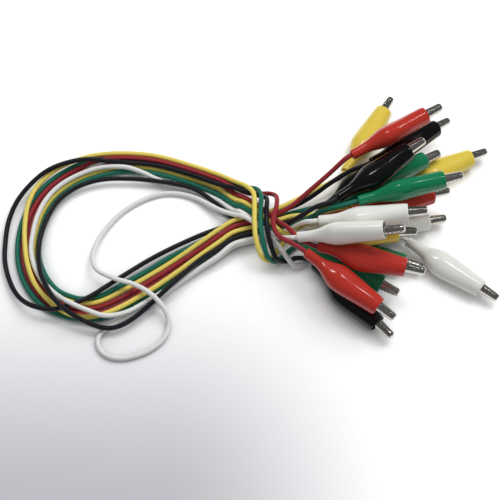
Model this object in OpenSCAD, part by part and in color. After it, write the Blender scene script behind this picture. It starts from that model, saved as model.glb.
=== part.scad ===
// A set of ten alligator clip test leads, folded in half and tied in one knot of their own wires.
// Each lead is an insulated wire with a toothed spring clip in a soft boot at both ends.
// X runs from the wire loops to the clips, Z is up from the table, and sizes are in millimetres.

/* [Boot] */
// length of the soft boot, from its tail to its mouth
boot_length = 40; // [38:0.5:42]
// width of the boot at its belly, along the pivot pin
boot_width = 9.7; // [9.4:0.1:10]
// height of the boot at its belly, in the direction that the jaws open
boot_height = 13; // [12.6:0.1:13.3]
// thickness of the boot's wall
boot_wall = 0.8; // [0.6:0.05:0.9]
// outside of the boot's tail sleeve, which grips the wire
tail_d = 4.8; // [4.4:0.1:5]
// length of the tail sleeve
tail_length = 8.5; // [7.5:0.5:9.5]

/* [Jaws] */
// length of the jaws that shows past the boot's mouth
jaw_reach = 8.5; // [7.5:0.5:9.5]
// outside of the two closed jaws at the pivot
jaw_d = 6; // [5.9:0.05:6.1]
// thickness of the plated sheet
sheet = 0.5; // [0.4:0.05:0.55]
// distance from one tooth to the next
tooth_pitch = 1.8; // [1.4:0.1:2.2]
// height of a tooth
tooth_depth = 1.1; // [0.8:0.05:1.2]
// gap between the two rows of teeth when the jaws are shut
tooth_gap = 0.3; // [0.15:0.05:0.4]
// distance of the pivot pin behind the boot's mouth
pivot_back = 7; // [6.5:0.25:7.5]
// diameter of the pivot pin
pin_d = 1.3; // [1.1:0.05:1.4]
// thickness of the spring's wire
spring_wire = 0.35; // [0.3:0.05:0.4]
// free width between the moving jaw's ears, for the spring
ear_gap = 2.3; // [2.2:0.05:2.4]
// turns of the spring on the pin
spring_turns = 1.5; // [1.5, 2.5]

/* [Wire] */
// outside of the wire's insulation
wire_d = 2.3; // [2:0.05:2.3]
// outside of the stripped copper strands
copper_d = 0.9; // [0.7:0.05:1]

/* [Hidden] */
// the middle of the table under the whole set, in the layout's own coordinates
origin = [2.48, 13.2, 0.1];
// the jaws close on a line below the middle of the boot, so that the upper jaw has room to swing
jaw_z = -1.2;
pivot_x = boot_length - pivot_back;
tip_x = boot_length + jaw_reach;
jaw_r = jaw_d / 2;
tip_r = jaw_r * 0.68;
// play between two sheets that slide on each other, and round the pin
play = 0.1;
pin_play = 0.05;
// the fixed jaw's ears stand outside those of the moving jaw
inner_ear_y = ear_gap / 2;
outer_ear_y = inner_ear_y + sheet + play;
outer_ear_r = pin_d / 2 + 0.95;
inner_ear_r = pin_d / 2 + 0.5;
ear_foot = 1.35;
head_r = pin_d / 2 + 0.35;
// the insulation ends inside the clip, in front of the insulation crimp
strip_x = 14.5;
crimp_r = wire_d / 2 + play / 2;
core_crimp_r = copper_d / 2 + play / 2;
crimp_floor = -crimp_r - sheet;
crimp_sheet = sheet * 0.9;
lower_handle_z = -boot_height / 2 + boot_wall + 1.05;
upper_handle_z = boot_height / 2 - boot_wall - 0.95;
handle_x = pivot_x - 12;
spring_r = pin_d / 2 + spring_wire / 2 + 0.25;
boot_sides = 12;
wire_sides = 6;
spring_rings = 6;
// a bend sharper than this many degrees gets a further ring on both sides of it
bend_limit = 22;

BLACK = "#1c1c1e";
RED = "#d92b1f";
YELLOW = "#e8c21d";
GREEN = "#158a55";
WHITE = "#e4e4e8";

// where a clip lies: the end of its tail, its heading, its pitch and its roll about its own length
// clips whose wire comes straight from the wire loops
GREEN_1 = [[35.2, 2.7, 5.6], -18, 0, 60];
// the end of a clip's jaws, beside which the outermost clip lies
function clip_tip(c) = c[0] + tip_x * [cos(c[2]) * cos(c[1]), cos(c[2]) * sin(c[1]), sin(c[2])];
CLIPS_IN = [
    [[32, -10, 5.4], -47.5, 0, 90],
    [[36.5, 18.5, 5.6], 37, 0, -80],
    [[27.5, -10.5, 20], -39, -5, 80],
    [[33, -7, 18.8], -17, 2, 90],
    [[34, 12.5, 5.4], 13, 0, 90],
    [[30, 1, 15], 0, 0, 90],
    GREEN_1,
    [[27, -1.8, 9.3], -28, -2, 0],
    [clip_tip(GREEN_1) + [-5.8, 14.4, -0.2], -38, 0, 90],
    [[24, -3, 20], -5, 22, 0]
];
// clips at the other ends, in the same order of leads
CLIPS_OUT = [
    [[59.5, 37.5, 17], 33, -8, 90],
    [[42.5, 16, 21.5], 32, 9, 70],
    [[49, 12, 16.5], 14, -5, 90],
    [[49.5, 37, 24], 28, 8, 25],
    [[72.5, 31, 5.4], 22, 0, 90],
    [[48, 38.5, 6.4], 58, 0, 70],
    [[51.5, 13.5, 23.5], 12, 8, 10],
    [[50.5, 20.5, 14.5], 30, 0, 0],
    [[33.5, 4.5, 21.5], 0, 11, 45],
    [[46.8, 5.2, 6.3], 10, 0, 20]
];
NAMES = ["black_1", "black_2", "red_1", "red_2", "yellow_1", "yellow_2",
    "green_1", "green_2", "white_1", "white_2"];
TINTS = [BLACK, BLACK, RED, RED, YELLOW, YELLOW, GREEN, GREEN, WHITE, WHITE];

// the routes between the two clips, by hand: over the knot, round the loop at the left and back through it
ROUTES = [
    // black 1
    [[24.5, -5.8, 3.6], [19, -7.2, 2.8], [14.4, -7.8, 8], [11.2, 0, 13.4], [10.2, 8, 14.3],
     [10.3, 15, 13.8], [10.3, 21.6, 10.7], [7, 24.7, 7.4], [1.5, 26.5, 7.7], [-5, 29, 7.3],
     [-13, 32.2, 5.4], [-28, 39, 3.9], [-43, 43.4, 3.7], [-57, 44.9, 3.8], [-66, 44.7, 5.5],
     [-74, 45.3, 6.3], [-84, 43.8, 6.3], [-94, 39.3, 6.2], [-102, 32, 5.2], [-108, 23, 4],
     [-111, 13, 3], [-111.5, 2, 2.5], [-110.5, -8, 2.5], [-107, -18, 2.5], [-102, -25.5, 3.5],
     [-95, -30.5, 6], [-86, -32.3, 6.3], [-78, -30, 6.3], [-70, -25.5, 4.6], [-60, -18, 3.7],
     [-45, -7.6, 3.7], [-33, -0.5, 3.7], [-20, 6.2, 3.4], [-12, 9.4, 3.5], [-5, 12.3, 3.7],
     [5, 15.3, 3.7], [14, 18, 3.7], [23, 20.8, 3.9], [31, 23.5, 8], [40, 28, 13.5],
     [49, 32.5, 16.8]],
    // black 2
    [[29, 15, 3], [22, 15.7, 1.3], [14, 17.4, 1.2], [4, 17.4, 1.2], [-5, 16.9, 1.2],
     [-9, 18.9, 1.6], [-13, 22.2, 3.4], [-24, 30.4, 3.7], [-36, 33.6, 3.7], [-50, 35.6, 3.7],
     [-65, 35.8, 3.7], [-75, 33.6, 3.7], [-83, 29.3, 3.7], [-89, 23, 3.7], [-93, 14, 3.7],
     [-95, 5, 3.7], [-95.2, -3, 4], [-94, -10, 5.4], [-91.5, -17.5, 6.7], [-85.5, -27.5, 8.4],
     [-79, -33.8, 9], [-71, -38, 6.2], [-62, -40.3, 3.8], [-54, -38.5, 3.8], [-45, -31.6, 4.2],
     [-33, -20.3, 6.4], [-20, -7.7, 6.1], [-12, -2.3, 6], [-5, 3, 6.4], [5, 6, 6.4],
     [14, 8.7, 6.4], [20, 9, 9.5], [26, 10, 15.5], [33, 12.5, 20]],
    // red 1
    [[20.5, -5.2, 19.3], [16.3, -2, 17.8], [13.7, 3, 16.2], [13.2, 9, 14.8], [14.8, 16, 13],
     [15, 23, 9.5], [12, 26.3, 6.5], [7, 27.2, 4.6], [1.5, 27.8, 4.4], [-5, 30.4, 5.2],
     [-13, 35.2, 4.2], [-28, 41.4, 3.7], [-43, 45.9, 3.7], [-58, 47.5, 3.7], [-70, 46.3, 3.6],
     [-79.9, 42.8, 1.8], [-87.6, 38, 1.2], [-94.2, 31.8, 1.2], [-99.3, 23.8, 1.2],
     [-102.4, 14.5, 1.2], [-103.5, 5, 1.2], [-102.9, -4.6, 1.2], [-100.3, -13, 1.2],
     [-96, -20.4, 1.2], [-90, -26.8, 1.2], [-82.6, -30.7, 1.2], [-74.8, -32.5, 1.2],
     [-65, -32, 1.2], [-55, -27.6, 1.2], [-45, -20.9, 1.2], [-33, -12.7, 1.2], [-20, -3, 1.4],
     [-12, 2.3, 2.7], [-5, 6.2, 3.7], [5, 9.2, 3.7], [14, 11.9, 3.7], [22, 12, 4.4],
     [29, 11.6, 7.4], [37, 11, 13]],
    // red 2
    [[24.5, -1.7, 16], [20, 4.5, 14.2], [15.5, 10, 10], [9, 16.5, 9], [1, 23.2, 7.4],
     [-5, 27.9, 4.1], [-13, 35, 1.6], [-28, 40.6, 1.2], [-43, 45.1, 1.2], [-57, 46.5, 1.2],
     [-69, 44.1, 1.2], [-78.8, 40.6, 1.2], [-86.1, 36, 1.2], [-92.4, 30.1, 1.2],
     [-97.1, 22.7, 1.2], [-99.9, 14, 1.2], [-101, 5, 1.2], [-100.4, -4.1, 1.2],
     [-98.1, -11.9, 1.2], [-94.1, -18.9, 1.2], [-88.5, -24.8, 1.2], [-81.7, -28.4, 1.2],
     [-74.5, -30, 1.2], [-66, -29.3, 1.2], [-56, -24.8, 1.2], [-45, -17.7, 1.2], [-33, -9.6, 1.7],
     [-20, -1.2, 4], [-12, 4.3, 5.8], [-5, 9, 6.4], [5, 12, 6.4], [14, 14.7, 6.4], [22, 18.4, 9],
     [31, 25, 13], [39, 30.5, 17.5]],
    // yellow 1
    [[27.5, 11.3, 3.4], [23.5, 9.3, 1.4], [19, 4.5, 1.2], [14.5, -2.2, 1.2], [11, -7, 3.6],
     [7.5, -6.8, 9.3], [5.2, 0, 13.4], [4.7, 8, 14.3], [4.7, 16, 13.9], [4.3, 23.5, 11.8],
     [1, 28.8, 9.2], [-5, 32.9, 6.8], [-13, 37.9, 4.6], [-28, 44, 3.8], [-43, 48.5, 3.7],
     [-58, 50, 3.7], [-72, 49, 3.7], [-83, 45.5, 3.7], [-92, 40, 3.7], [-99, 32, 3.7],
     [-102.5, 22, 3.7], [-103, 11, 3.7], [-102, 1, 3.7], [-99.8, -9, 3.7], [-95.4, -19, 3.7],
     [-88, -27.5, 3.7], [-80, -33, 3.7], [-71, -35, 3.7], [-60, -32.3, 3.7], [-45, -23.5, 3.8],
     [-33, -14.8, 3.9], [-20, -4.6, 4.6], [-12, 1, 5.8], [-5, 6, 6.4], [5, 9, 6.4],
     [14, 11.7, 6.4], [22, 14, 7], [31, 13.8, 9], [40, 14.6, 11], [48, 18.4, 11], [55, 23, 9.7],
     [62, 27, 7.6]],
    // yellow 2
    [[19.5, 3.3, 10.7], [14, 7.8, 9.1], [7.2, 14.8, 9], [0, 21, 7.4], [-5, 24.6, 4.3],
     [-13, 31.8, 1.6], [-28, 38, 1.2], [-43, 42.6, 1.2], [-57, 44, 1.2], [-69, 41.6, 1.2],
     [-77.6, 38.3, 1.2], [-84.7, 33.9, 1.2], [-90.6, 28.3, 1.2], [-94.9, 21.5, 1.2],
     [-97.5, 13.5, 1.2], [-98.5, 5, 1.2], [-98, -3.7, 1.2], [-95.8, -10.9, 1.2],
     [-92.2, -17.3, 1.2], [-87, -22.8, 1.2], [-80.8, -26, 1.2], [-74.3, -27.6, 1.2],
     [-66, -26.6, 1.2], [-57, -22, 1.2], [-45, -14.5, 1.2], [-33, -6.5, 1.6], [-20, 2, 4.6],
     [-12, 7.6, 5.8], [-5, 12, 6.4], [5, 15, 6.4], [14, 17.7, 6.4], [23, 22.3, 6.4], [33, 28, 6.4],
     [41, 32.5, 6.4]],
    // green 1
    [[28, 3, 3.9], [24, 1.2, 1.9], [19, -2.8, 1.2], [14.6, -7.2, 2.8], [10.6, -7.3, 8.8],
     [8.1, 0, 13.4], [7.4, 8, 14.3], [7.5, 15, 13.9], [7.8, 22, 11.8], [6, 27.4, 8.8],
     [1.5, 30.4, 5.2], [-5, 33.3, 3.9], [-13, 38.1, 1.8], [-28, 43.3, 1.2], [-43, 47.8, 1.2],
     [-58, 49.4, 1.2], [-71, 48.6, 1.2], [-81, 45, 1.2], [-89, 40, 1.2], [-96, 33.5, 1.2],
     [-101.5, 25, 1.2], [-104.8, 15, 1.2], [-106, 5, 1.2], [-105.3, -5, 1.2], [-102.6, -14, 1.2],
     [-98, -22, 1.2], [-91.5, -28.8, 1.2], [-83.5, -33, 1.2], [-75, -35, 1.2], [-65, -34.8, 1.2],
     [-54.5, -30.6, 1.2], [-45, -24.1, 1.2], [-33, -15.9, 1.2], [-20, -6.2, 1.5], [-12, -0.9, 2.7],
     [-5, 3.2, 3.7], [5, 6.2, 3.7], [14, 8.9, 3.7], [21, 9.1, 5.2], [28, 10.3, 10.5],
     [36, 11.6, 17], [43, 11.8, 21.4]],
    // green 2
    [[18, 1, 9], [12.3, 5.8, 9], [5.4, 13.1, 9], [-1, 18.8, 7.3], [-5, 21.3, 4.6],
     [-13, 28.6, 1.6], [-28, 35.4, 1.2], [-43, 40.1, 1.2], [-57, 41.4, 1.2], [-68, 39.3, 1.2],
     [-76.5, 36.1, 1.2], [-83.2, 31.9, 1.2], [-88.8, 26.6, 1.2], [-92.7, 20.3, 1.2],
     [-95, 13, 1.2], [-96, 5, 1.2], [-95.5, -3.2, 1.2], [-93.5, -9.8, 1.2], [-90.2, -15.7, 1.2],
     [-85.5, -20.8, 1.2], [-79.9, -23.7, 1.2], [-74, -25.1, 1.2], [-66, -23.9, 1.2],
     [-58, -19.3, 1.2], [-45, -11.3, 1.2], [-33, -3.4, 1.2], [-20, 3.6, 1.4], [-12, 6, 2.9],
     [-5, 9.2, 3.7], [5, 12.2, 3.7], [14, 14.9, 3.7], [22, 16.9, 4.4], [30, 17, 8.7],
     [38, 17.3, 12.4]],
    // white 1
    [[69, 2.9, 3.9], [63, 1.8, 1.6], [57, 2.5, 1.2], [50, 3.8, 1.2], [42, 4.3, 1.2],
     [35.5, 2.5, 1.2], [31.5, -2.5, 1.2], [27.5, -8, 1.2], [23.5, -9.6, 2.6], [20, -7.3, 6],
     [16, -2.8, 8.7], [10.5, 3.9, 9], [3.6, 11.2, 9.2], [-2, 15.8, 8.2], [-5, 18, 5.2],
     [-9, 21.9, 2.7], [-13, 25.4, 1.6], [-22, 29.8, 1.3], [-36, 34.2, 1.2], [-43, 36.9, 2.2],
     [-50, 39.8, 3.7], [-58, 42.4, 3.7], [-69, 42.2, 3.7], [-79, 38.5, 3.7], [-88, 32.5, 3.7],
     [-94, 25, 3.7], [-97.5, 16, 3.7], [-98.8, 7, 3.7], [-98.8, -2, 3.7], [-96.5, -10, 3.7],
     [-92.5, -17, 3.8], [-87.5, -22.5, 4.6], [-82.5, -27, 7], [-77.5, -30.3, 8.9],
     [-70, -33.2, 7.6], [-62, -35.2, 6], [-53, -33, 4.5], [-45, -28, 3.6], [-33, -20, 3.6],
     [-20, -10.7, 3.9], [-12, -5.6, 5.4], [-5, 0, 6.4], [5, 3, 6.4], [14, 5.7, 6.4],
     [20, 6.3, 7.8], [24.5, 6.5, 13], [27.5, 5.5, 18]],
    // white 2
    [[16, 0, 13.8], [11, 3.6, 11.8], [5, 8.3, 11.7], [0, 11.8, 11], [-5, 14.7, 7.6],
     [-12, 18.7, 4.8], [-24, 26.8, 1.8], [-36, 29.4, 1.2], [-47, 26.5, 1.2], [-57, 20, 1.2],
     [-64, 12, 1.3], [-68.5, 3, 2.5], [-70, -6, 4], [-67, -13, 6.2], [-59, -17.5, 7],
     [-50, -20.5, 7.2], [-42, -25.5, 8.1], [-36, -31.5, 5], [-34, -38, 1.6], [-36.5, -45, 1.2],
     [-43.5, -50.5, 1.2], [-53, -53.5, 1.2], [-60.5, -52.5, 1.2], [-65, -48, 1.2],
     [-64.5, -42, 1.2], [-57, -36.3, 1.2], [-45, -29, 1.2], [-33, -20, 1.2], [-20, -10, 1.4],
     [-12, -5, 2.6], [-5, 0.2, 3.7], [5, 3.2, 3.7], [14, 5.9, 3.7], [24, 7, 3.8], [33, 7.8, 4.4],
     [39, 6.2, 5.5]]
];

function unit(v) = v / norm(v);
function corner_angle(P, i) = i <= 0 || i >= len(P) - 1 ? 0
    : acos(max(-1, min(1, unit(P[i] - P[i - 1]) * unit(P[i + 1] - P[i]))));
// the point halfway along the smooth curve between two points of a route
function half_way(P, i) = (9 * (P[i] + P[i + 1]) - P[max(i - 1, 0)] - P[min(i + 2, len(P) - 1)]) / 16;
function refined(P) = [for (i = [0 : len(P) - 1])
    each i < len(P) - 1 && max(corner_angle(P, i), corner_angle(P, i + 1)) > bend_limit
        ? [P[i], half_way(P, i)] : [P[i]]];
function tangents(P) = [for (i = [0 : len(P) - 1])
    unit(P[min(i + 1, len(P) - 1)] - P[max(i - 1, 0)])];
function across(t) = unit(cross(t, abs(t[2]) < 0.9 ? [0, 0, 1] : [1, 0, 0]));
// a side vector carried along the route without twisting
function carried(T) = [for (i = 0, u = across(T[0]); i < len(T);
    i = i + 1, u = i < len(T) ? unit(u - (u * T[i]) * T[i]) : u) u];
// a point on a clip, turned and moved to where the clip lies
function turned(c, v) = let (
    a = [v[0], v[1] * cos(c[3]) - v[2] * sin(c[3]), v[1] * sin(c[3]) + v[2] * cos(c[3])],
    b = [a[0] * cos(c[2]) - a[2] * sin(c[2]), a[1], a[0] * sin(c[2]) + a[2] * cos(c[2])])
    c[0] + [b[0] * cos(c[1]) - b[1] * sin(c[1]), b[0] * sin(c[1]) + b[1] * cos(c[1]), b[2]];
// thicker insulation lifts the free part of a wire off the table
function lifted(p) = p + [0, 0, (wire_d - 2) / 2];
function route(i) = [
    for (x = [strip_x, 6, 0, -3]) turned(CLIPS_IN[i], [x, 0, 0]),
    for (p = ROUTES[i]) lifted(p),
    for (x = [-3, 0, 6, strip_x]) turned(CLIPS_OUT[i], [x, 0, 0])];

// least distance from a wire's surface to a part of itself that is not its neighbour
function self_gap(P) = min([for (i = [0 : len(P) - 1]) for (j = [i + 4 : 1 : len(P) - 1])
    norm(P[i] - P[j])]) - wire_d;

function total(P) = len(P) < 2 ? 0
    : [for (i = 1, s = norm(P[1] - P[0]); i < len(P); i = i + 1,
        s = i < len(P) ? s + norm(P[i] - P[i - 1]) : s) s][len(P) - 2];

// a closed tube of so many sides along a list of points
module tube(P, r, sides) {
    T = tangents(P);
    U = carried(T);
    n = len(P);
    ring_points = [for (i = [0 : n - 1]) for (k = [0 : sides - 1])
        P[i] + r * (cos(360 * k / sides) * U[i] + sin(360 * k / sides) * cross(T[i], U[i]))];
    walls = [for (i = [0 : n - 2]) for (k = [0 : sides - 1])
        let (a = i * sides + k, b = i * sides + (k + 1) % sides)
        each [[a, a + sides, b], [b, a + sides, b + sides]]];
    caps = [for (k = [1 : sides - 2])
        each [[0, k, k + 1], [(n - 1) * sides, (n - 1) * sides + k + 1, (n - 1) * sides + k]]];
    polyhedron(ring_points, concat(walls, caps), convexity = 10);
}

module at_clip(c) {
    translate(c[0] - origin)
        rotate([0, 0, c[1]])
            rotate([0, -c[2], 0])
                rotate([c[3], 0, 0])
                    children();
}

// a flat outline drawn in x and z, given a thickness along y and centred on it
module plate(thickness) {
    rotate([90, 0, 0])
        linear_extrude(thickness, center = true)
            children();
}

// the boot's outline: distance from the tail, half width and half height
function boot_outside() = let (w = boot_width / 2, h = boot_height / 2, t = tail_d / 2, l = boot_length)
    [[0, t, t], [tail_length - 1.5, t + 0.1, t + 0.1], [tail_length + 1.5, t + 0.5, t + 0.7],
     [13.5, w * 0.83, h * 0.76], [17.5, w * 0.99, h * 0.985], [20.5, w, h],
     [l - 8, w * 0.95, h * 0.88], [l, w * 0.88, h * 0.8]];
function boot_inside() = let (o = boot_outside(), s = boot_wall, b = (wire_d / 2 + 0.03) / cos(180 / boot_sides))
    [for (k = [7 : -1 : 3]) [o[k][0], o[k][1] - s, o[k][2] - s],
     [tail_length + 2, b, b], [0, b, b]];

// one soft boot: a skin of oval rings, out along its outside and back along its inside
module boot() {
    rings = concat(boot_outside(), boot_inside());
    n = len(rings);
    m = boot_sides;
    skin = [for (q = rings) for (k = [0 : m - 1])
        [q[0], q[1] * cos(360 * k / m), q[2] * sin(360 * k / m)]];
    faces = [for (i = [0 : n - 1]) for (k = [0 : m - 1])
        let (a = i * m + k, b = i * m + (k + 1) % m, c = ((i + 1) % n) * m + k, d = ((i + 1) % n) * m + (k + 1) % m)
        each [[a, c, b], [b, c, d]]];
    polyhedron(skin, faces, convexity = 10);
}

// a hollow round nose that tapers to a blunt tip, from which both jaws are cut
module nose(from_x) {
    taper = tip_x - 1.4;
    start = pivot_x - 2;
    from_r = jaw_r + (tip_r - jaw_r) * (from_x - start) / (taper - start);
    translate([0, 0, jaw_z])
        rotate([0, 90, 0])
            rotate_extrude($fn = 48)
                polygon([
                    [from_r - sheet, from_x], [from_r, from_x], [tip_r, taper], [tip_r * 0.9, tip_x - 0.4],
                    [tip_r * 0.65, tip_x], [0, tip_x], [0, tip_x - sheet],
                    [tip_r * 0.6, tip_x - sheet], [tip_r - sheet, taper]]);
}

// the zig-zag line on which the jaws meet, from the tip back to the first tooth
teeth = floor((jaw_reach - 1.2) / tooth_pitch);
function bite(shift) = [for (k = [0 : 2 * teeth])
    [tip_x - 0.8 - k * tooth_pitch / 2, jaw_z + shift + (k % 2 == 0 ? 0 : tooth_depth)]];

module pin_hole() {
    translate([pivot_x, 0, jaw_z])
        rotate([90, 0, 0])
            cylinder(h = boot_width, r = pin_d / 2 + pin_play, center = true, $fn = 32);
}

// a round bar along the wire, for a crimp's outside or its bore
module along_wire(x, length, r) {
    translate([x, 0, 0])
        rotate([0, 90, 0])
            cylinder(h = length, r = r, $fn = 40);
}

// the jaw that carries the wire: toothed half nose, ears, lower handle and two crimps
module fixed_jaw() {
    rear = pivot_x - 2;
    difference() {
        union() {
            intersection() {
                nose(rear);
                plate(4 * jaw_r)
                    polygon(concat([[tip_x + 1, jaw_z - 4 * jaw_r], [tip_x + 1, jaw_z - play / 2]], bite(-tooth_gap / 2),
                        [[boot_length - 1, jaw_z - play / 2], [rear - 1, jaw_z - play / 2],
                         [rear - 1, jaw_z - 4 * jaw_r]]));
            }
            for (s = [-1, 1])
                translate([0, s * (outer_ear_y + sheet / 2), 0])
                    plate(sheet)
                        translate([pivot_x, jaw_z]) {
                            intersection() {
                                circle(r = outer_ear_r, $fn = 48);
                                translate([-outer_ear_r, 0])
                                    square([2 * outer_ear_r, outer_ear_r]);
                            }
                            translate([-outer_ear_r, -ear_foot])
                                square([2 * outer_ear_r, ear_foot]);
                        }
            plate(3)
                polygon([
                    [pivot_x + 1, jaw_z - jaw_r + 0.05], [pivot_x - 5, lower_handle_z], [21.5, lower_handle_z],
                    [17.6, crimp_floor], [12, crimp_floor], [12, crimp_floor + crimp_sheet],
                    [17.7, crimp_floor + crimp_sheet], [21.7, lower_handle_z + sheet],
                    [pivot_x - 5, lower_handle_z + sheet], [pivot_x + 1, jaw_z - jaw_r + sheet]]);
            along_wire(12, 2.3, crimp_r + sheet);
            along_wire(15.3, 2.1, core_crimp_r + sheet);
            translate([15.3, -0.6, crimp_floor + 0.1])
                cube([2.1, 1.2, -crimp_floor - core_crimp_r - 0.2]);
        }
        pin_hole();
        along_wire(0, strip_x + 0.3, crimp_r);
        along_wire(strip_x, 5, core_crimp_r);
    }
}

// the jaw that swings: toothed half nose, inner ears and the upper handle under the boot's back
module moving_jaw() {
    front = pivot_x + 2.5;
    difference() {
        union() {
            intersection() {
                nose(front);
                plate(4 * jaw_r)
                    polygon(concat([[tip_x + 1, jaw_z + 4 * jaw_r], [tip_x + 1, jaw_z + play / 2]], bite(tooth_gap / 2),
                        [[boot_length - 1, jaw_z + play / 2], [front - 1, jaw_z + play / 2],
                         [front - 1, jaw_z + 4 * jaw_r]]));
            }
            for (s = [-1, 1])
                translate([0, s * (inner_ear_y + sheet / 2), 0])
                    plate(sheet)
                        union() {
                            translate([pivot_x, jaw_z])
                                circle(r = inner_ear_r, $fn = 48);
                            polygon([
                                [pivot_x - inner_ear_r, jaw_z], [pivot_x + 2, jaw_z + play],
                                [front + 2.5, jaw_z + play], [front + 2.5, jaw_z + 1.5],
                                [pivot_x + 0.4, jaw_z + 2.2], [pivot_x - 2, jaw_z + 2.4]]);
                        }
            plate(2 * (inner_ear_y + sheet))
                polygon([
                    [pivot_x + 0.4, jaw_z + 1.7], [pivot_x - 2, jaw_z + 2.1], [pivot_x - 6.5, upper_handle_z - 1.5],
                    [handle_x, upper_handle_z - sheet], [handle_x, upper_handle_z],
                    [pivot_x - 6.5, upper_handle_z - 1.5 + sheet], [pivot_x - 2, jaw_z + 2.1 + sheet],
                    [pivot_x + 0.4, jaw_z + 2.2]]);
        }
        pin_hole();
    }
}

// a rivet with two flat heads
module pin() {
    reach = jaw_r;
    translate([pivot_x, 0, jaw_z])
        rotate([90, 0, 0]) {
            cylinder(h = 2 * reach + 0.44, r = pin_d / 2, center = true, $fn = 32);
            for (s = [-1, 1])
                translate([0, 0, s * (reach + 0.12)])
                    cylinder(h = 0.2, r = head_r, center = true, $fn = 32);
        }
}

// a coil on the pin with one leg under the upper handle and one on the lower handle
module spring() {
    side = inner_ear_y - spring_wire / 2 - 0.15;
    steps = spring_turns * spring_rings;
    coil = [for (k = [0 : steps])
        [pivot_x + spring_r * cos(90 - k * 360 / spring_rings), side * (2 * k / steps - 1),
         jaw_z + spring_r * sin(90 - k * 360 / spring_rings)]];
    legs_x = pivot_x - 8;
    tube(concat([[legs_x, -side, upper_handle_z - 1.6]], coil,
        [[legs_x, side, lower_handle_z + sheet + spring_wire / 2 + 0.05]]), spring_wire / 2, 4);
}

module wire(i) {
    color(TINTS[i])
        translate(-origin)
            tube(refined(route(i)), wire_d / 2, wire_sides);
}

module boots(i) {
    color(TINTS[i])
        for (c = [CLIPS_IN[i], CLIPS_OUT[i]])
            at_clip(c)
                boot();
}

module fixed_jaws(i) {
    color("#b9bcc0")
        for (c = [CLIPS_IN[i], CLIPS_OUT[i]])
            at_clip(c)
                fixed_jaw();
}

module moving_jaw_at(c) {
    color("#b9bcc0")
        at_clip(c)
            moving_jaw();
}

module pivot_pins() {
    color("#c9ccd0")
        for (c = concat(CLIPS_IN, CLIPS_OUT))
            at_clip(c)
                pin();
}

module jaw_springs() {
    color("#8f9398")
        for (c = concat(CLIPS_IN, CLIPS_OUT))
            at_clip(c)
                spring();
}

module copper_conductors() {
    color("#b8703c")
        for (c = concat(CLIPS_IN, CLIPS_OUT))
            at_clip(c)
                translate([strip_x, 0, 0])
                    rotate([0, 90, 0])
                        cylinder(h = 3.7, r = copper_d / 2, $fn = 24);
}

for (i = [0 : len(NAMES) - 1]) {
    wire(i);
    boots(i);
    fixed_jaws(i);
    moving_jaw_at(CLIPS_IN[i]);
    moving_jaw_at(CLIPS_OUT[i]);
}
pivot_pins();
jaw_springs();
copper_conductors();

// each wire's length and its least gap to itself
for (i = [0 : len(NAMES) - 1]) {
    path = refined(route(i));
    echo(str(NAMES[i], " length ", round(total(path)), " mm, least gap to itself ", self_gap(path), " mm"));
}
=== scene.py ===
import math

import bmesh
import bpy
from mathutils import Matrix, Vector


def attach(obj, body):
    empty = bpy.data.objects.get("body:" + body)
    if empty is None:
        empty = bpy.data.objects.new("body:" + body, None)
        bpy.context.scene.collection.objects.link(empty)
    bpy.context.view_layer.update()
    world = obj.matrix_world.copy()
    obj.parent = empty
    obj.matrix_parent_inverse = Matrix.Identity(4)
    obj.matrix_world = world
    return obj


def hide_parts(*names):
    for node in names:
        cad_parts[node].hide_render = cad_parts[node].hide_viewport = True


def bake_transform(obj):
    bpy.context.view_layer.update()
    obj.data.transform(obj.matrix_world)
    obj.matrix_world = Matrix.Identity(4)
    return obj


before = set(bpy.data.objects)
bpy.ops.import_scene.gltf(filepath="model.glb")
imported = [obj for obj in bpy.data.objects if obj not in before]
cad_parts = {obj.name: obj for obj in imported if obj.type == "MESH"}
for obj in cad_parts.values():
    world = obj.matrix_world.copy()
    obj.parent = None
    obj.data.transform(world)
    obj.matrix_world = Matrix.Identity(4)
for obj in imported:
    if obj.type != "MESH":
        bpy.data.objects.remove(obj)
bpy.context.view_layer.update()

# the part's sizes are written in millimetres, and MM turns them into the frame's metres
MM = 0.001
# where the frame's origin lies in the layout that the points below are written in
ORIGIN = Vector((2.48, 13.2, 0.1))
WIRE_D = 2.3
# the routes are written for a wire this thick, and a thicker one lies higher by half the difference
ROUTE_D = 2
# depth inside the boot at which the insulation ends and the bare copper starts
STRIP_X = 14.5
# each wire runs straight through these places, from its end inside the boot to just outside the tail
STRAIGHT_X = (STRIP_X, 9, 3, -3)
# steps of a wire's line from one point of its route to the next
ROUTE_STEPS = 8
# the middle of a clip's pivot pin, in the clip's own axes
PIVOT = Vector((33, 0, -1.2))

# the two clips of each lead: the boot's tail, then heading, pitch and roll in degrees
CLIPS = {
    "black_1": (((32, -10, 5.4), -47.5, 0, 90), ((59.5, 37.5, 17), 33, -8, 90)),
    "black_2": (((36.5, 18.5, 5.6), 37, 0, -80), ((42.5, 16, 21.5), 32, 9, 70)),
    "red_1": (((27.5, -10.5, 20), -39, -5, 80), ((49, 12, 16.5), 14, -5, 90)),
    "red_2": (((33, -7, 18.8), -17, 2, 90), ((49.5, 37, 24), 28, 8, 25)),
    "yellow_1": (((34, 12.5, 5.4), 13, 0, 90), ((72.5, 31, 5.4), 22, 0, 90)),
    "yellow_2": (((30, 1, 15), 0, 0, 90), ((48, 38.5, 6.4), 58, 0, 70)),
    "green_1": (((35.2, 2.7, 5.6), -18, 0, 60), ((51.5, 13.5, 23.5), 12, 8, 10)),
    "green_2": (((27, -1.8, 9.3), -28, -2, 0), ((50.5, 20.5, 14.5), 30, 0, 0)),
    "white_1": (((75.526, 2.113, 5.4), -38, 0, 90), ((33.5, 4.5, 21.5), 0, 11, 45)),
    "white_2": (((24, -3, 20), -5, 22, 0), ((46.8, 5.2, 6.3), 10, 0, 20)),
}

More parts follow.
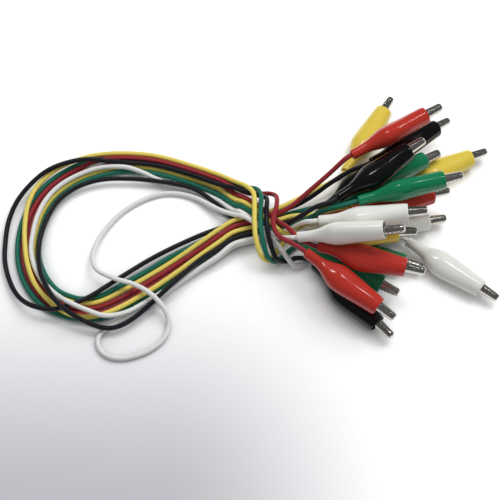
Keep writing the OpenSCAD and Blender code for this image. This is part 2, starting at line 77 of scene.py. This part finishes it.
# each wire's route from the first boot to the second: over the knot, round the loop and back
ROUTES = {
    "black_1": [
        (24.5, -5.8, 3.6), (19, -7.2, 2.8), (14.4, -7.8, 8), (11.2, 0, 13.4), (10.2, 8, 14.3),
        (10.3, 15, 13.8), (10.3, 21.6, 10.7), (7, 24.7, 7.4), (1.5, 26.5, 7.7), (-5, 29, 7.3),
        (-13, 32.2, 5.4), (-28, 39, 3.9), (-43, 43.4, 3.7), (-57, 44.9, 3.8), (-66, 44.7, 5.5),
        (-74, 45.3, 6.3), (-84, 43.8, 6.3), (-94, 39.3, 6.2), (-102, 32, 5.2), (-108, 23, 4),
        (-111, 13, 3), (-111.5, 2, 2.5), (-110.5, -8, 2.5), (-107, -18, 2.5), (-102, -25.5, 3.5),
        (-95, -30.5, 6), (-86, -32.3, 6.3), (-78, -30, 6.3), (-70, -25.5, 4.6), (-60, -18, 3.7),
        (-45, -7.6, 3.7), (-33, -0.5, 3.7), (-20, 6.2, 3.4), (-12, 9.4, 3.5), (-5, 12.3, 3.7),
        (5, 15.3, 3.7), (14, 18, 3.7), (23, 20.8, 3.9), (31, 23.5, 8), (40, 28, 13.5), (49, 32.5, 16.8)],
    "black_2": [
        (29, 15, 3), (22, 15.7, 1.3), (14, 17.4, 1.2), (4, 17.4, 1.2), (-5, 16.9, 1.2),
        (-9, 18.9, 1.6), (-13, 22.2, 3.4), (-24, 30.4, 3.7), (-36, 33.6, 3.7), (-50, 35.6, 3.7),
        (-65, 35.8, 3.7), (-75, 33.6, 3.7), (-83, 29.3, 3.7), (-89, 23, 3.7), (-93, 14, 3.7),
        (-95, 5, 3.7), (-95.2, -3, 4), (-94, -10, 5.4), (-91.5, -17.5, 6.7), (-85.5, -27.5, 8.4),
        (-79, -33.8, 9), (-71, -38, 6.2), (-62, -40.3, 3.8), (-54, -38.5, 3.8), (-45, -31.6, 4.2),
        (-33, -20.3, 6.4), (-20, -7.7, 6.1), (-12, -2.3, 6), (-5, 3, 6.4), (5, 6, 6.4), (14, 8.7, 6.4),
        (20, 9, 9.5), (26, 10, 15.5), (33, 12.5, 20)],
    "red_1": [
        (20.5, -5.2, 19.3), (16.3, -2, 17.8), (13.7, 3, 16.2), (13.2, 9, 14.8), (14.8, 16, 13),
        (15, 23, 9.5), (12, 26.3, 6.5), (7, 27.2, 4.6), (1.5, 27.8, 4.4), (-5, 30.4, 5.2),
        (-13, 35.2, 4.2), (-28, 41.4, 3.7), (-43, 45.9, 3.7), (-58, 47.5, 3.7), (-70, 46.3, 3.6),
        (-79.9, 42.8, 1.8), (-87.6, 38, 1.2), (-94.2, 31.8, 1.2), (-99.3, 23.8, 1.2),
        (-102.4, 14.5, 1.2), (-103.5, 5, 1.2), (-102.9, -4.6, 1.2), (-100.3, -13, 1.2),
        (-96, -20.4, 1.2), (-90, -26.8, 1.2), (-82.6, -30.7, 1.2), (-74.8, -32.5, 1.2),
        (-65, -32, 1.2), (-55, -27.6, 1.2), (-45, -20.9, 1.2), (-33, -12.7, 1.2), (-20, -3, 1.4),
        (-12, 2.3, 2.7), (-5, 6.2, 3.7), (5, 9.2, 3.7), (14, 11.9, 3.7), (22, 12, 4.4),
        (29, 11.6, 7.4), (37, 11, 13)],
    "red_2": [
        (24.5, -1.7, 16), (20, 4.5, 14.2), (15.5, 10, 10), (9, 16.5, 9), (1, 23.2, 7.4),
        (-5, 27.9, 4.1), (-13, 35, 1.6), (-28, 40.6, 1.2), (-43, 45.1, 1.2), (-57, 46.5, 1.2),
        (-69, 44.1, 1.2), (-78.8, 40.6, 1.2), (-86.1, 36, 1.2), (-92.4, 30.1, 1.2), (-97.1, 22.7, 1.2),
        (-99.9, 14, 1.2), (-101, 5, 1.2), (-100.4, -4.1, 1.2), (-98.1, -11.9, 1.2),
        (-94.1, -18.9, 1.2), (-88.5, -24.8, 1.2), (-81.7, -28.4, 1.2), (-74.5, -30, 1.2),
        (-66, -29.3, 1.2), (-56, -24.8, 1.2), (-45, -17.7, 1.2), (-33, -9.6, 1.7), (-20, -1.2, 4),
        (-12, 4.3, 5.8), (-5, 9, 6.4), (5, 12, 6.4), (14, 14.7, 6.4), (22, 18.4, 9), (31, 25, 13),
        (39, 30.5, 17.5)],
    "yellow_1": [
        (27.5, 11.3, 3.4), (23.5, 9.3, 1.4), (19, 4.5, 1.2), (14.5, -2.2, 1.2), (11, -7, 3.6),
        (7.5, -6.8, 9.3), (5.2, 0, 13.4), (4.7, 8, 14.3), (4.7, 16, 13.9), (4.3, 23.5, 11.8),
        (1, 28.8, 9.2), (-5, 32.9, 6.8), (-13, 37.9, 4.6), (-28, 44, 3.8), (-43, 48.5, 3.7),
        (-58, 50, 3.7), (-72, 49, 3.7), (-83, 45.5, 3.7), (-92, 40, 3.7), (-99, 32, 3.7),
        (-102.5, 22, 3.7), (-103, 11, 3.7), (-102, 1, 3.7), (-99.8, -9, 3.7), (-95.4, -19, 3.7),
        (-88, -27.5, 3.7), (-80, -33, 3.7), (-71, -35, 3.7), (-60, -32.3, 3.7), (-45, -23.5, 3.8),
        (-33, -14.8, 3.9), (-20, -4.6, 4.6), (-12, 1, 5.8), (-5, 6, 6.4), (5, 9, 6.4), (14, 11.7, 6.4),
        (22, 14, 7), (31, 13.8, 9), (40, 14.6, 11), (48, 18.4, 11), (55, 23, 9.7), (62, 27, 7.6)],
    "yellow_2": [
        (19.5, 3.3, 10.7), (14, 7.8, 9.1), (7.2, 14.8, 9), (0, 21, 7.4), (-5, 24.6, 4.3),
        (-13, 31.8, 1.6), (-28, 38, 1.2), (-43, 42.6, 1.2), (-57, 44, 1.2), (-69, 41.6, 1.2),
        (-77.6, 38.3, 1.2), (-84.7, 33.9, 1.2), (-90.6, 28.3, 1.2), (-94.9, 21.5, 1.2),
        (-97.5, 13.5, 1.2), (-98.5, 5, 1.2), (-98, -3.7, 1.2), (-95.8, -10.9, 1.2),
        (-92.2, -17.3, 1.2), (-87, -22.8, 1.2), (-80.8, -26, 1.2), (-74.3, -27.6, 1.2),
        (-66, -26.6, 1.2), (-57, -22, 1.2), (-45, -14.5, 1.2), (-33, -6.5, 1.6), (-20, 2, 4.6),
        (-12, 7.6, 5.8), (-5, 12, 6.4), (5, 15, 6.4), (14, 17.7, 6.4), (23, 22.3, 6.4), (33, 28, 6.4),
        (41, 32.5, 6.4)],
    "green_1": [
        (28, 3, 3.9), (24, 1.2, 1.9), (19, -2.8, 1.2), (14.6, -7.2, 2.8), (10.6, -7.3, 8.8),
        (8.1, 0, 13.4), (7.4, 8, 14.3), (7.5, 15, 13.9), (7.8, 22, 11.8), (6, 27.4, 8.8),
        (1.5, 30.4, 5.2), (-5, 33.3, 3.9), (-13, 38.1, 1.8), (-28, 43.3, 1.2), (-43, 47.8, 1.2),
        (-58, 49.4, 1.2), (-71, 48.6, 1.2), (-81, 45, 1.2), (-89, 40, 1.2), (-96, 33.5, 1.2),
        (-101.5, 25, 1.2), (-104.8, 15, 1.2), (-106, 5, 1.2), (-105.3, -5, 1.2), (-102.6, -14, 1.2),
        (-98, -22, 1.2), (-91.5, -28.8, 1.2), (-83.5, -33, 1.2), (-75, -35, 1.2), (-65, -34.8, 1.2),
        (-54.5, -30.6, 1.2), (-45, -24.1, 1.2), (-33, -15.9, 1.2), (-20, -6.2, 1.5), (-12, -0.9, 2.7),
        (-5, 3.2, 3.7), (5, 6.2, 3.7), (14, 8.9, 3.7), (21, 9.1, 5.2), (28, 10.3, 10.5),
        (36, 11.6, 17), (43, 11.8, 21.4)],
    "green_2": [
        (18, 1, 9), (12.3, 5.8, 9), (5.4, 13.1, 9), (-1, 18.8, 7.3), (-5, 21.3, 4.6), (-13, 28.6, 1.6),
        (-28, 35.4, 1.2), (-43, 40.1, 1.2), (-57, 41.4, 1.2), (-68, 39.3, 1.2), (-76.5, 36.1, 1.2),
        (-83.2, 31.9, 1.2), (-88.8, 26.6, 1.2), (-92.7, 20.3, 1.2), (-95, 13, 1.2), (-96, 5, 1.2),
        (-95.5, -3.2, 1.2), (-93.5, -9.8, 1.2), (-90.2, -15.7, 1.2), (-85.5, -20.8, 1.2),
        (-79.9, -23.7, 1.2), (-74, -25.1, 1.2), (-66, -23.9, 1.2), (-58, -19.3, 1.2),
        (-45, -11.3, 1.2), (-33, -3.4, 1.2), (-20, 3.6, 1.4), (-12, 6, 2.9), (-5, 9.2, 3.7),
        (5, 12.2, 3.7), (14, 14.9, 3.7), (22, 16.9, 4.4), (30, 17, 8.7), (38, 17.3, 12.4)],
    "white_1": [
        (69, 2.9, 3.9), (63, 1.8, 1.6), (57, 2.5, 1.2), (50, 3.8, 1.2), (42, 4.3, 1.2),
        (35.5, 2.5, 1.2), (31.5, -2.5, 1.2), (27.5, -8, 1.2), (23.5, -9.6, 2.6), (20, -7.3, 6),
        (16, -2.8, 8.7), (10.5, 3.9, 9), (3.6, 11.2, 9.2), (-2, 15.8, 8.2), (-5, 18, 5.2),
        (-9, 21.9, 2.7), (-13, 25.4, 1.6), (-22, 29.8, 1.3), (-36, 34.2, 1.2), (-43, 36.9, 2.2),
        (-50, 39.8, 3.7), (-58, 42.4, 3.7), (-69, 42.2, 3.7), (-79, 38.5, 3.7), (-88, 32.5, 3.7),
        (-94, 25, 3.7), (-97.5, 16, 3.7), (-98.8, 7, 3.7), (-98.8, -2, 3.7), (-96.5, -10, 3.7),
        (-92.5, -17, 3.8), (-87.5, -22.5, 4.6), (-82.5, -27, 7), (-77.5, -30.3, 8.9),
        (-70, -33.2, 7.6), (-62, -35.2, 6), (-53, -33, 4.5), (-45, -28, 3.6), (-33, -20, 3.6),
        (-20, -10.7, 3.9), (-12, -5.6, 5.4), (-5, 0, 6.4), (5, 3, 6.4), (14, 5.7, 6.4), (20, 6.3, 7.8),
        (24.5, 6.5, 13), (27.5, 5.5, 18)],
    "white_2": [
        (16, 0, 13.8), (11, 3.6, 11.8), (5, 8.3, 11.7), (0, 11.8, 11), (-5, 14.7, 7.6), (-12, 18.7, 4.8),
        (-24, 26.8, 1.8), (-36, 29.4, 1.2), (-47, 26.5, 1.2), (-57, 20, 1.2), (-64, 12, 1.3),
        (-68.5, 3, 2.5), (-70, -6, 4), (-67, -13, 6.2), (-59, -17.5, 7), (-50, -20.5, 7.2),
        (-42, -25.5, 8.1), (-36, -31.5, 5), (-34, -38, 1.6), (-36.5, -45, 1.2), (-43.5, -50.5, 1.2),
        (-53, -53.5, 1.2), (-60.5, -52.5, 1.2), (-65, -48, 1.2), (-64.5, -42, 1.2), (-57, -36.3, 1.2),
        (-45, -29, 1.2), (-33, -20, 1.2), (-20, -10, 1.4), (-12, -5, 2.6), (-5, 0.2, 3.7),
        (5, 3.2, 3.7), (14, 5.9, 3.7), (24, 7, 3.8), (33, 7.8, 4.4), (39, 6.2, 5.5)],
}

# colours as the eye sees them: the glossy boot, then the duller insulation of the wire
BOOT_HEX = {"black": "#08070a", "red": "#c4372b", "yellow": "#f0d554", "green": "#138256",
            "white": "#f3f3ec"}
WIRE_HEX = {"black": "#1f1f26", "red": "#9f3038", "yellow": "#fbe570", "green": "#1e735f",
            "white": "#f8f8f5"}


def linear(text):
    """an sRGB hex colour as linear red, green, blue, alpha"""
    values = [int(text[k:k + 2], 16) / 255 for k in (1, 3, 5)]
    return [v / 12.92 if v <= 0.04045 else ((v + 0.055) / 1.055) ** 2.4 for v in values] + [1.0]


def add(tree, kind, sockets=None, **settings):
    """one node with its settings; a socket takes a plain value or another node's output"""
    made = tree.nodes.new("ShaderNode" + kind)
    for name, value in settings.items():
        setattr(made, name, value)
    for name, value in (sockets or {}).items():
        if isinstance(value, bpy.types.NodeSocket):
            tree.links.new(value, made.inputs[name])
        else:
            made.inputs[name].default_value = value
    return made


def blank(name):
    """an empty material with its output node"""
    made = bpy.data.materials.new(name)
    made.use_nodes = True
    made.node_tree.nodes.clear()
    return made, made.node_tree, made.node_tree.nodes.new("ShaderNodeOutputMaterial")


def per_mm(size):
    """noise scale for spots of this size in millimetres, on coordinates in metres"""
    return 1 / (size * MM)


def soft_plastic(name, hex_colour, rough, spot_mm, shade, shine):
    """flexible PVC: one even colour with a faint cloudiness, and a skin that is never quite flat"""
    made, tree, out = blank(name)
    where = add(tree, "TexCoord").outputs["Object"]
    cloud = add(tree, "TexNoise", {"Vector": where, "Scale": per_mm(spot_mm), "Detail": 3.0}).outputs["Fac"]
    skin = add(tree, "TexNoise", {"Vector": where, "Scale": per_mm(1.4), "Detail": 1.0}).outputs["Fac"]
    base = linear(hex_colour)
    dark = [v * (1 - shade) for v in base[:3]] + [1.0]
    pale = [min(1.0, v * (1 + shade)) for v in base[:3]] + [1.0]
    colour = add(tree, "Mix", {0: cloud, 6: dark, 7: pale}, data_type="RGBA").outputs[2]
    gloss = add(tree, "MapRange", {"Value": cloud, "From Min": 0.3, "From Max": 0.7,
                                   "To Min": rough * 0.85, "To Max": rough * 1.2}).outputs["Result"]
    bump = add(tree, "Bump", {"Height": skin, "Strength": 0.03, "Distance": 0.05 * MM}).outputs["Normal"]
    shader = add(tree, "BsdfPrincipled", {"Base Color": colour, "Roughness": gloss, "Normal": bump,
                                          "IOR": 1.5, "Specular IOR Level": shine})
    tree.links.new(shader.outputs[0], out.inputs["Surface"])
    return made


def metal(name, hex_colour, rough, grain_mm):
    """bare or plated metal: bright, with marks in the gloss, rounded sheet edges and painted shade darkening
    its narrow gaps
    """
    made, tree, out = blank(name)
    where = add(tree, "TexCoord").outputs["Object"]
    grain = per_mm(grain_mm)
    marks = add(tree, "TexNoise", {"Vector": where, "Scale": grain, "Detail": 5.0}).outputs["Fac"]
    fine = add(tree, "TexNoise", {"Vector": where, "Scale": per_mm(0.15), "Detail": 2.0}).outputs["Fac"]
    gloss = add(tree, "MapRange", {"Value": marks, "From Min": 0.3, "From Max": 0.7,
                                   "To Min": rough * 0.7, "To Max": rough * 1.4}).outputs["Result"]
    worn = add(tree, "Bevel", {"Radius": 0.25 * MM}, samples=8).outputs["Normal"]
    bump = add(tree, "Bump", {"Height": fine, "Strength": 0.02, "Distance": 0.02 * MM,
                              "Normal": worn}).outputs["Normal"]
    # painted shade: the colour darkens where ambient occlusion finds narrow gaps and crevices, such as
    # between the teeth
    free = add(tree, "AmbientOcclusion", {"Distance": 0.7 * MM}, samples=12).outputs["AO"]
    unshaded_share = add(tree, "MapRange", {"Value": free, "From Min": 0.25, "From Max": 0.7}).outputs["Result"]
    bright = linear(hex_colour)
    gap_shade_colour = [v * 0.12 for v in bright[:3]] + [1.0]
    colour = add(tree, "Mix", {0: unshaded_share, 6: gap_shade_colour, 7: bright}, data_type="RGBA").outputs[2]
    shader = add(tree, "BsdfPrincipled", {"Base Color": colour, "Metallic": 1.0,
                                          "Roughness": gloss, "Normal": bump})
    tree.links.new(shader.outputs[0], out.inputs["Surface"])
    return made


def clip_place(clip):
    """where a clip stands: its own x runs from the tail to the tip, and z is the way the jaw opens"""
    tail, heading, pitch, roll = clip
    turn = (Matrix.Rotation(math.radians(heading), 4, "Z") @ Matrix.Rotation(math.radians(-pitch), 4, "Y")
            @ Matrix.Rotation(math.radians(roll), 4, "X"))
    return Matrix.Translation((Vector(tail) - ORIGIN) * MM) @ turn


def smooth(points, steps):
    """a curve that passes through every point, with so many steps between two of them"""
    ends = [2 * points[0] - points[1]] + points + [2 * points[-1] - points[-2]]
    found = []
    for a, b, c, d in zip(ends, ends[1:], ends[2:], ends[3:]):
        for k in range(steps):
            t = k / steps
            found.append(0.5 * (2 * b + (c - a) * t + (2 * a - 5 * b + 4 * c - d) * t * t
                                + (3 * b - a - 3 * c + d) * t ** 3))
    return found + [points[-1]]


def tube_object(name, path, radius, material):
    """a round curve object that runs along a path and has both ends closed"""
    curve = bpy.data.curves.new(name, "CURVE")
    curve.dimensions = "3D"
    curve.bevel_depth = radius
    curve.bevel_resolution = 3
    curve.use_fill_caps = True
    spline = curve.splines.new("POLY")
    spline.points.add(len(path) - 1)
    for point, place in zip(spline.points, path):
        point.co = (*place, 1.0)
    spline.use_smooth = True
    curve.materials.append(material)
    made = bpy.data.objects.new(name, curve)
    bpy.context.scene.collection.objects.link(made)
    return made


# the camera: in front of the knot and well above it, as in the photograph
scene = bpy.context.scene
eye = (Vector((2.6, -193.56, 415.09)) - ORIGIN) * MM
aim = (Vector((2.6, 0, 0)) - ORIGIN) * MM
lens = bpy.data.cameras.new("camera")
lens.lens = 70.5
lens.sensor_width = 36
lens.clip_start = 0.01
camera = bpy.data.objects.new("camera", lens)
camera.location = eye
camera.rotation_euler = (aim - eye).to_track_quat("-Z", "Y").to_euler()
scene.collection.objects.link(camera)
scene.camera = camera

# the ten wires: limp PVC insulation, duller than the boots
insulation = {hue: soft_plastic("pvc_insulation_" + hue, text, rough=0.34, spot_mm=4, shade=0.06, shine=0.3)
              for hue, text in WIRE_HEX.items()}
lift = Vector((0, 0, (WIRE_D - ROUTE_D) / 2))
wires = {}
for lead, route in ROUTES.items():
    hue = lead.split("_")[0]
    first, last = (clip_place(c) for c in CLIPS[lead])
    points = [first @ Vector((x * MM, 0, 0)) for x in STRAIGHT_X]
    points += [(Vector(p) + lift - ORIGIN) * MM for p in route]
    points += [last @ Vector((x * MM, 0, 0)) for x in reversed(STRAIGHT_X)]
    path = smooth(points, ROUTE_STEPS)
    wires[lead] = tube_object(lead + "_wire_soft", path, WIRE_D / 2 * MM, insulation[hue])
    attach(wires[lead], "leads")
    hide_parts(lead + "_wire")

# the boot's rings, out along its skin: distance from the tail, half width, half height, middle's height
BOOT_OUT = [
    (0, 2.2, 2.2, 0), (0.2, 2.42, 2.42, 0), (3.5, 2.44, 2.44, 0), (7, 2.5, 2.5, 0), (10, 2.95, 3.15, 0),
    (13.5, 4.05, 4.9, 0), (16.6, 4.74, 6.22, 0), (18.4, 4.9, 6.53, 0), (21, 4.82, 6.45, 0),
    (25, 4.56, 6.1, -0.1), (29, 4.42, 5.6, -0.32), (33, 4.42, 5.1, -0.45), (37, 4.32, 4.66, -0.58),
    (39.3, 4.2, 4.42, -0.62), (39.9, 4.03, 4.24, -0.62)]
# and back inside, from the mouth to the narrow sleeve that grips the wire
BOOT_IN = [
    (40, 3.78, 3.98, -0.62), (39.8, 3.54, 3.72, -0.62), (38.6, 3.58, 3.8, -0.6), (36.5, 3.68, 4, -0.55),
    (33, 3.74, 4.38, -0.45), (29, 3.74, 4.9, -0.32), (25, 3.86, 5.36, -0.1), (20.5, 4.05, 5.66, 0),
    (17.5, 3.98, 5.56, 0), (13.5, 3.24, 4.12, 0), (10.5, 1.3, 1.3, 0), (9.5, 1.24, 1.24, 0),
    (3.4, 1.24, 1.24, 0), (0.2, 1.44, 1.44, 0), (0, 1.62, 1.62, 0)]
RING_SIDES = 20


def boot_of(name, clip, material):
    """one boot: a skin drawn ring by ring along its outside and back inside, and closed on itself"""
    mesh = bpy.data.meshes.new(name)
    bm = bmesh.new()
    sizes = BOOT_OUT + BOOT_IN
    ring = bmesh.ops.create_circle(bm, segments=RING_SIDES, radius=MM)["verts"]
    bmesh.ops.rotate(bm, verts=ring, matrix=Matrix.Rotation(math.radians(90), 3, "Y"))
    bmesh.ops.scale(bm, verts=ring, vec=(1, *sizes[0][1:3]))
    first = edges = bm.edges[:]
    for old, new in zip(sizes, sizes[1:]):
        drawn = bmesh.ops.extrude_edge_only(bm, edges=edges)["geom"]
        ring = [g for g in drawn if isinstance(g, bmesh.types.BMVert)]
        edges = [g for g in drawn if isinstance(g, bmesh.types.BMEdge)]
        edges = [e for e in edges if all(v in ring for v in e.verts)]
        bmesh.ops.translate(bm, verts=ring, vec=(0, 0, -old[3] * MM))
        bmesh.ops.scale(bm, verts=ring, vec=(1, new[1] / old[1], new[2] / old[2]))
        bmesh.ops.translate(bm, verts=ring, vec=((new[0] - old[0]) * MM, 0, new[3] * MM))
    bmesh.ops.bridge_loops(bm, edges=first + edges)
    bmesh.ops.transform(bm, matrix=clip_place(clip), verts=bm.verts)
    bmesh.ops.recalc_face_normals(bm, faces=bm.faces)
    for face in bm.faces:
        face.smooth = True
    bm.to_mesh(mesh)
    bm.free()
    mesh.materials.append(material)
    made = bpy.data.objects.new(name, mesh)
    scene.collection.objects.link(made)
    round_off = made.modifiers.new("smooth", "SUBSURF")
    round_off.levels = round_off.render_levels = 2
    return made


# the twenty boots: the same PVC with a glossy skin
skin = {hue: soft_plastic("glossy_pvc_" + hue, text, rough=0.13, spot_mm=6, shade=0.05, shine=0.5)
        for hue, text in BOOT_HEX.items()}
for lead, pair in CLIPS.items():
    hue = lead.split("_")[0]
    for end, clip in zip("ab", pair):
        boot = boot_of(lead + "_boot_" + end, clip, skin[hue])
        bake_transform(boot)
        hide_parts(lead + "_boots")

# nickel-plated steel jaws, grey and bright, the springs in darker wire, and the bare copper
plate = metal("nickel_plate", "#c9c6bf", rough=0.16, grain_mm=1.6)
spring_steel = metal("drawn_steel_wire", "#9a9a9a", rough=0.3, grain_mm=1.0)
copper = metal("bare_copper", "#c9825c", rough=0.32, grain_mm=0.6)

# the torsion spring: its wire, the coil's radius and half width, and where its two legs end
SPRING_WIRE = 0.35
COIL_R = 1.075
COIL_SIDE = 0.825
LEG_X, LEG_TOP, LEG_LOW = 25, 3.15, -3.925
# the coil makes one and a half turns in these steps
COIL_STEPS, COIL_STEP_DEG = 36, 15


def spring_path(clip):
    """a torsion spring round the pin: a leg, one and a half turns and the other leg"""
    place = clip_place(clip)
    local = [Vector((LEG_X, -COIL_SIDE, LEG_TOP))]
    for k in range(COIL_STEPS + 1):
        angle = math.radians(90 - k * COIL_STEP_DEG)
        across = COIL_SIDE * (2 * k / COIL_STEPS - 1)
        local.append(PIVOT + Vector((COIL_R * math.cos(angle), across, COIL_R * math.sin(angle))))
    local.append(Vector((LEG_X, COIL_SIDE, LEG_LOW)))
    return [place @ (p * MM) for p in local]


for lead, pair in CLIPS.items():
    for end, clip in zip("ab", pair):
        drawn = tube_object("spring_line", spring_path(clip), SPRING_WIRE / 2 * MM, spring_steel)
        finished = drawn.evaluated_get(bpy.context.evaluated_depsgraph_get())
        wound = bpy.data.meshes.new_from_object(finished)
        bpy.data.objects.remove(drawn)
        spring = bpy.data.objects.new(lead + "_spring_" + end, wound)
        scene.collection.objects.link(spring)
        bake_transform(spring)
        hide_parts("jaw_springs")

# every CAD node that still shows is metal: the copper ends, or the jaws and pins
for name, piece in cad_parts.items():
    kind = copper if name == "copper_conductors" else plate
    piece.data.materials.clear()
    piece.data.materials.append(kind)

# the floor: a pale sheet that is white at the back, on the right and far away, with a soft grey painted
# shade in front
# half its side in metres, and how far below the set it lies in millimetres
FLOOR_HALF = 3
FLOOR_DROP = 0.2
floor_mesh = bpy.data.meshes.new("floor")
bm = bmesh.new()
bmesh.ops.create_grid(bm, x_segments=1, y_segments=1, size=FLOOR_HALF)
bmesh.ops.translate(bm, verts=bm.verts, vec=(0, 0, -FLOOR_DROP * MM))
bm.to_mesh(floor_mesh)
bm.free()
floor = bpy.data.objects.new("floor", floor_mesh)
scene.collection.objects.link(floor)
paper, tree, out = blank("white_paper")
where = add(tree, "TexCoord").outputs["Object"]
axes = add(tree, "SeparateXYZ", {"Vector": where}).outputs
# painted shade: a soft grey laid towards the front left and near the set, where a shadow falls on the white
# paper
front = add(tree, "MapRange", {"Value": axes["Y"], "From Min": -0.14, "From Max": 0.02, "To Min": 1.0,
                               "To Max": 0.0}, interpolation_type="SMOOTHSTEP").outputs["Result"]
left = add(tree, "MapRange", {"Value": axes["X"], "From Min": -0.04, "From Max": 0.1, "To Min": 1.0,
                              "To Max": 0.0}, interpolation_type="SMOOTHSTEP").outputs["Result"]
reach = add(tree, "VectorMath", {0: where}, operation="LENGTH").outputs["Value"]
near = add(tree, "MapRange", {"Value": reach, "From Min": 0.18, "From Max": 0.42, "To Min": 1.0,
                              "To Max": 0.0}).outputs["Result"]
painted_shade_mask = add(tree, "Math", {0: front, 1: left}, operation="MULTIPLY").outputs[0]
painted_shade_mask = add(tree, "Math", {0: painted_shade_mask, 1: near}, operation="MULTIPLY").outputs[0]
tone = add(tree, "Mix", {0: painted_shade_mask, 6: linear("#ffffff"), 7: linear("#b4b5b9")}, data_type="RGBA").outputs[2]
sheet = add(tree, "BsdfPrincipled", {"Base Color": tone, "Roughness": 0.9, "Specular IOR Level": 0.1})
# an overexposed sheet: what is seen of it, directly or mirrored, is lifted towards pure white
rays = add(tree, "LightPath").outputs
shown = add(tree, "Math", {0: rays["Is Camera Ray"], 1: rays["Is Glossy Ray"]}, operation="ADD").outputs[0]
shown = add(tree, "Math", {0: shown, 1: rays["Is Transmission Ray"]}, operation="MAXIMUM").outputs[0]
level = add(tree, "MapRange", {"Value": reach, "From Min": 0.3, "From Max": 1.2,
                               "To Min": 0.4, "To Max": 1.0}).outputs["Result"]
white = add(tree, "Math", {0: shown, 1: level}, operation="MULTIPLY").outputs[0]
# beside a wire or boot that lies on it, the sheet loses this lift, so the shadow there stays: a painted
# contact shadow from ambient occlusion
open_sky = add(tree, "AmbientOcclusion", {"Distance": 9 * MM}, samples=16).outputs["AO"]
open_sky = add(tree, "MapRange", {"Value": open_sky, "From Min": 0.45, "From Max": 0.95}).outputs["Result"]
white = add(tree, "Math", {0: white, 1: open_sky}, operation="MULTIPLY").outputs[0]
glow = add(tree, "Emission", {"Color": tone, "Strength": white})
both = add(tree, "AddShader", {0: sheet.outputs[0], 1: glow.outputs[0]})
tree.links.new(both.outputs[0], out.inputs["Surface"])
floor_mesh.materials.append(paper)


def lamp(name, place, aim_at, wide, tall, watts, mirrored=True):
    """a rectangular soft box, which can be kept out of the reflections"""
    data = bpy.data.lights.new(name, "AREA")
    data.shape = "RECTANGLE"
    data.size, data.size_y, data.energy = wide, tall, watts
    made = bpy.data.objects.new(name, data)
    made.location = place
    made.rotation_euler = (Vector(aim_at) - Vector(place)).to_track_quat("-Z", "Y").to_euler()
    made.visible_glossy = mirrored
    scene.collection.objects.link(made)


# a large soft light up at the back right, two small lamps for the crisp highlights, and an even white room
lamp("key", (0.35, 0.4, 0.75), (0.02, 0, 0), wide=0.6, tall=0.6, watts=4.2, mirrored=False)
lamp("spark", (-0.12, 0.32, 0.7), (0.03, 0, 0), wide=0.24, tall=0.04, watts=0.7)
lamp("second", (0.3, 0.25, 0.75), (0.03, 0, 0), wide=0.06, tall=0.06, watts=0.35)
# the room is darker in reflections, so that metal and gloss show contrast, and plain white to the camera
world = bpy.data.worlds.new("white_room")
scene.world = world
world.use_nodes = True
tree = world.node_tree
room = tree.nodes["Background"]
room.inputs["Color"].default_value = linear("#f6f7fa")
rays = add(tree, "LightPath").outputs
level = add(tree, "MapRange", {"Value": rays["Is Glossy Ray"], "To Min": 0.34,
                               "To Max": 0.14}).outputs["Result"]
level = add(tree, "Math", {0: level, 1: rays["Is Camera Ray"]}, operation="MAXIMUM").outputs[0]
tree.links.new(level, room.inputs["Strength"])

scene.view_settings.view_transform = "Standard"
